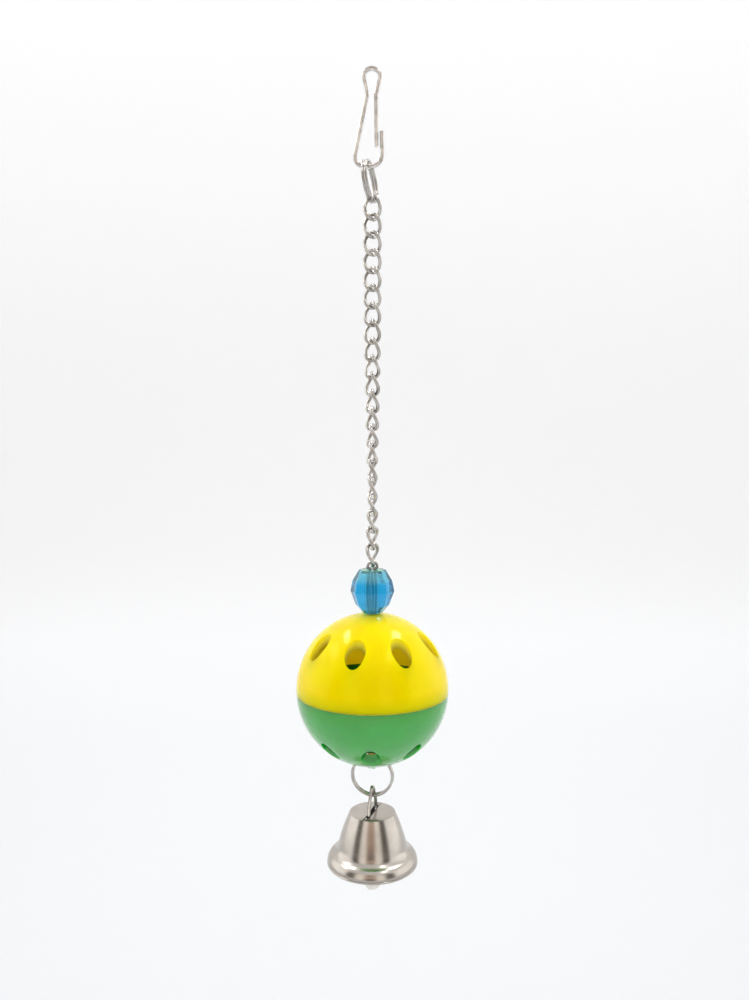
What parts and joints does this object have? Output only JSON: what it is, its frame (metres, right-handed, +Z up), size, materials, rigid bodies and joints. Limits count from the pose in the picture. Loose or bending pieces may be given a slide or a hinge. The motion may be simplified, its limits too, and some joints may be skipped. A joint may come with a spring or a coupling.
{
  "type": "hanging bell ball bird toy",
  "caption": "Hanging bird cage toy: snap hook, split ring, twisted curb chain, faceted bead, hollow yellow and green ball with round holes, and a small bell with a clapper.",
  "frame": {"origin": "top of the hole in the snap hook's upper loop, where the wire that carries the toy sits", "axes": "+Z up along the hanging toy, +X to the right across the hook's flat face, +Y away from the viewer"},
  "size_m": [0.05, 0.05, 0.2669],
  "materials": {
    "nickel_wire": "bright nickel plate on steel wire",
    "nickel_bell": "polished nickel plate with a soft satin sheen",
    "clapper_steel": "pale bare metal, satin",
    "yellow_plastic": "glossy moulded plastic",
    "green_plastic": "glossy moulded plastic",
    "blue_acrylic": "clear tinted acrylic, polished facets"
  },
  "bodies": {
    "snap hook": {"snap_hook": "nickel_wire"},
    "gate": {"hook_gate": "nickel_wire"},
    "upper ring": {"upper_split_ring": "nickel_wire"},
    "link 01": {"chain_link_01": "nickel_wire"},
    "link 02": {"chain_link_02": "nickel_wire"},
    "link 03": {"chain_link_03": "nickel_wire"},
    "link 04": {"chain_link_04": "nickel_wire"},
    "link 05": {"chain_link_05": "nickel_wire"},
    "link 06": {"chain_link_06": "nickel_wire"},
    "link 07": {"chain_link_07": "nickel_wire"},
    "link 08": {"chain_link_08": "nickel_wire"},
    "link 09": {"chain_link_09": "nickel_wire"},
    "link 10": {"chain_link_10": "nickel_wire"},
    "link 11": {"chain_link_11": "nickel_wire"},
    "link 12": {"chain_link_12": "nickel_wire"},
    "link 13": {"chain_link_13": "nickel_wire"},
    "link 14": {"chain_link_14": "nickel_wire"},
    "link 15": {"chain_link_15": "nickel_wire"},
    "link 16": {"chain_link_16": "nickel_wire"},
    "link 17": {"chain_link_17": "nickel_wire"},
    "link 18": {"chain_link_18": "nickel_wire"},
    "link 19": {"chain_link_19": "nickel_wire"},
    "link 20": {"chain_link_20": "nickel_wire"},
    "link 21": {"chain_link_21": "nickel_wire"},
    "pin": {"wire_pin": "nickel_wire"},
    "bead": {"faceted_bead": "blue_acrylic"},
    "ball": {"ball_upper_shell": "yellow_plastic", "ball_lower_shell": "green_plastic"},
    "lower ring": {"lower_split_ring": "nickel_wire"},
    "bell": {"bell_hanger": "nickel_wire", "bell_shell": "nickel_bell"},
    "clapper": {"clapper_rod": "nickel_wire", "clapper_ball": "clapper_steel"}
  },
  "joints": [
    {"name": "gate flex", "type": "hinge", "parent": "snap hook", "child": "gate", "pos_m": [0.0012, 0, -0.00872], "axis": [0, 1, 0], "range_deg": [0, 14], "stiffness_Nm_per_rad": 0.12},
    {"name": "upper ring swing", "type": "hinge", "parent": "snap hook", "child": "upper ring", "pos_m": [-0.00155, 0, -0.02928], "axis": [0.9928, 0, -0.1197], "range_deg": [-35, 35]},
    {"name": "link 01 swing", "type": "hinge", "parent": "upper ring", "child": "link 01", "pos_m": [0.00004, 0, -0.04015], "axis": [0.2588, 0.9659, 0], "range_deg": [-25, 25]},
    {"name": "link 02 swing", "type": "hinge", "parent": "link 01", "child": "link 02", "pos_m": [0, 0, -0.04416], "axis": [0.7071, -0.7071, 0], "range_deg": [-28, 28]},
    {"name": "link 03 swing", "type": "hinge", "parent": "link 02", "child": "link 03", "pos_m": [0, 0, -0.05119], "axis": [0.7071, 0.7071, 0], "range_deg": [-28, 28]},
    {"name": "link 04 swing", "type": "hinge", "parent": "link 03", "child": "link 04", "pos_m": [0, 0, -0.05522], "axis": [-0.6225, 0.7826, 0], "range_deg": [-28, 28]},
    {"name": "link 05 swing", "type": "hinge", "parent": "link 04", "child": "link 05", "pos_m": [0, 0, -0.06225], "axis": [-0.7826, -0.6225, 0], "range_deg": [-28, 28]},
    {"name": "link 06 swing", "type": "hinge", "parent": "link 05", "child": "link 06", "pos_m": [0, 0, -0.06628], "axis": [0.4305, -0.9026, 0], "range_deg": [-28, 28]},
    {"name": "link 07 swing", "type": "hinge", "parent": "link 06", "child": "link 07", "pos_m": [0, 0, -0.07331], "axis": [0.9026, 0.4305, 0], "range_deg": [-28, 28]},
    {"name": "link 08 swing", "type": "hinge", "parent": "link 07", "child": "link 08", "pos_m": [0, 0, -0.07734], "axis": [-0.2164, 0.9763, 0], "range_deg": [-28, 28]},
    {"name": "link 09 swing", "type": "hinge", "parent": "link 08", "child": "link 09", "pos_m": [0, 0, -0.08437], "axis": [-0.9763, -0.2164, 0], "range_deg": [-28, 28]},
    {"name": "link 10 swing", "type": "hinge", "parent": "link 09", "child": "link 10", "pos_m": [0, 0, -0.0884], "axis": [-0.0087, -1, 0], "range_deg": [-28, 28]},
    {"name": "link 11 swing", "type": "hinge", "parent": "link 10", "child": "link 11", "pos_m": [0, 0, -0.09543], "axis": [1, -0.0087, 0], "range_deg": [-28, 28]},
    {"name": "link 12 swing", "type": "hinge", "parent": "link 11", "child": "link 12", "pos_m": [0, 0, -0.09946], "axis": [0.2334, 0.9724, 0], "range_deg": [-28, 28]},
    {"name": "link 13 swing", "type": "hinge", "parent": "link 12", "child": "link 13", "pos_m": [0, 0, -0.10649], "axis": [-0.9724, 0.2334, 0], "range_deg": [-28, 28]},
    {"name": "link 14 swing", "type": "hinge", "parent": "link 13", "child": "link 14", "pos_m": [0, 0, -0.11052], "axis": [-0.4462, -0.8949, 0], "range_deg": [-28, 28]},
    {"name": "link 15 swing", "type": "hinge", "parent": "link 14", "child": "link 15", "pos_m": [0, 0, -0.11755], "axis": [0.8949, -0.4462, 0], "range_deg": [-28, 28]},
    {"name": "link 16 swing", "type": "hinge", "parent": "link 15", "child": "link 16", "pos_m": [0, 0, -0.12158], "axis": [0.6361, 0.7716, 0], "range_deg": [-28, 28]},
    {"name": "link 17 swing", "type": "hinge", "parent": "link 16", "child": "link 17", "pos_m": [0, 0, -0.12861], "axis": [-0.7716, 0.6361, 0], "range_deg": [-28, 28]},
    {"name": "link 18 swing", "type": "hinge", "parent": "link 17", "child": "link 18", "pos_m": [0, 0, -0.13264], "axis": [-0.7934, -0.6088, 0], "range_deg": [-28, 28]},
    {"name": "link 19 swing", "type": "hinge", "parent": "link 18", "child": "link 19", "pos_m": [0, 0, -0.13967], "axis": [0.6088, -0.7934, 0], "range_deg": [-28, 28]},
    {"name": "link 20 swing", "type": "hinge", "parent": "link 19", "child": "link 20", "pos_m": [0, 0, -0.1437], "axis": [0.91, 0.4147, 0], "range_deg": [-28, 28]},
    {"name": "link 21 swing", "type": "hinge", "parent": "link 20", "child": "link 21", "pos_m": [0, 0, -0.15073], "axis": [-0.4147, 0.91, 0], "range_deg": [-28, 28]},
    {"name": "pin swing", "type": "hinge", "parent": "link 21", "child": "pin", "pos_m": [0, 0, -0.15626], "axis": [0.309, -0.9511, 0], "range_deg": [-20, 20]},
    {"name": "bead spin", "type": "hinge", "parent": "pin", "child": "bead", "pos_m": [0, 0, -0.16451], "axis": [0, 0, 1], "continuous": true},
    {"name": "ball spin", "type": "hinge", "parent": "pin", "child": "ball", "pos_m": [0, 0, -0.17296], "axis": [0, 0, 1], "continuous": true},
    {"name": "lower ring swing", "type": "hinge", "parent": "ball", "child": "lower ring", "pos_m": [0, 0, -0.22051], "axis": [0.1822, 0.9833, 0], "range_deg": [-12, 12]},
    {"name": "bell swing", "type": "hinge", "parent": "lower ring", "child": "bell", "pos_m": [0, 0, -0.23309], "axis": [0.9833, -0.1822, 0], "range_deg": [-35, 35]},
    {"name": "clapper swing", "type": "hinge", "parent": "bell", "child": "clapper", "pos_m": [0, 0, -0.24299], "axis": [0.3107, 0.9505, 0], "range_deg": [-34, 34]}
  ]
}
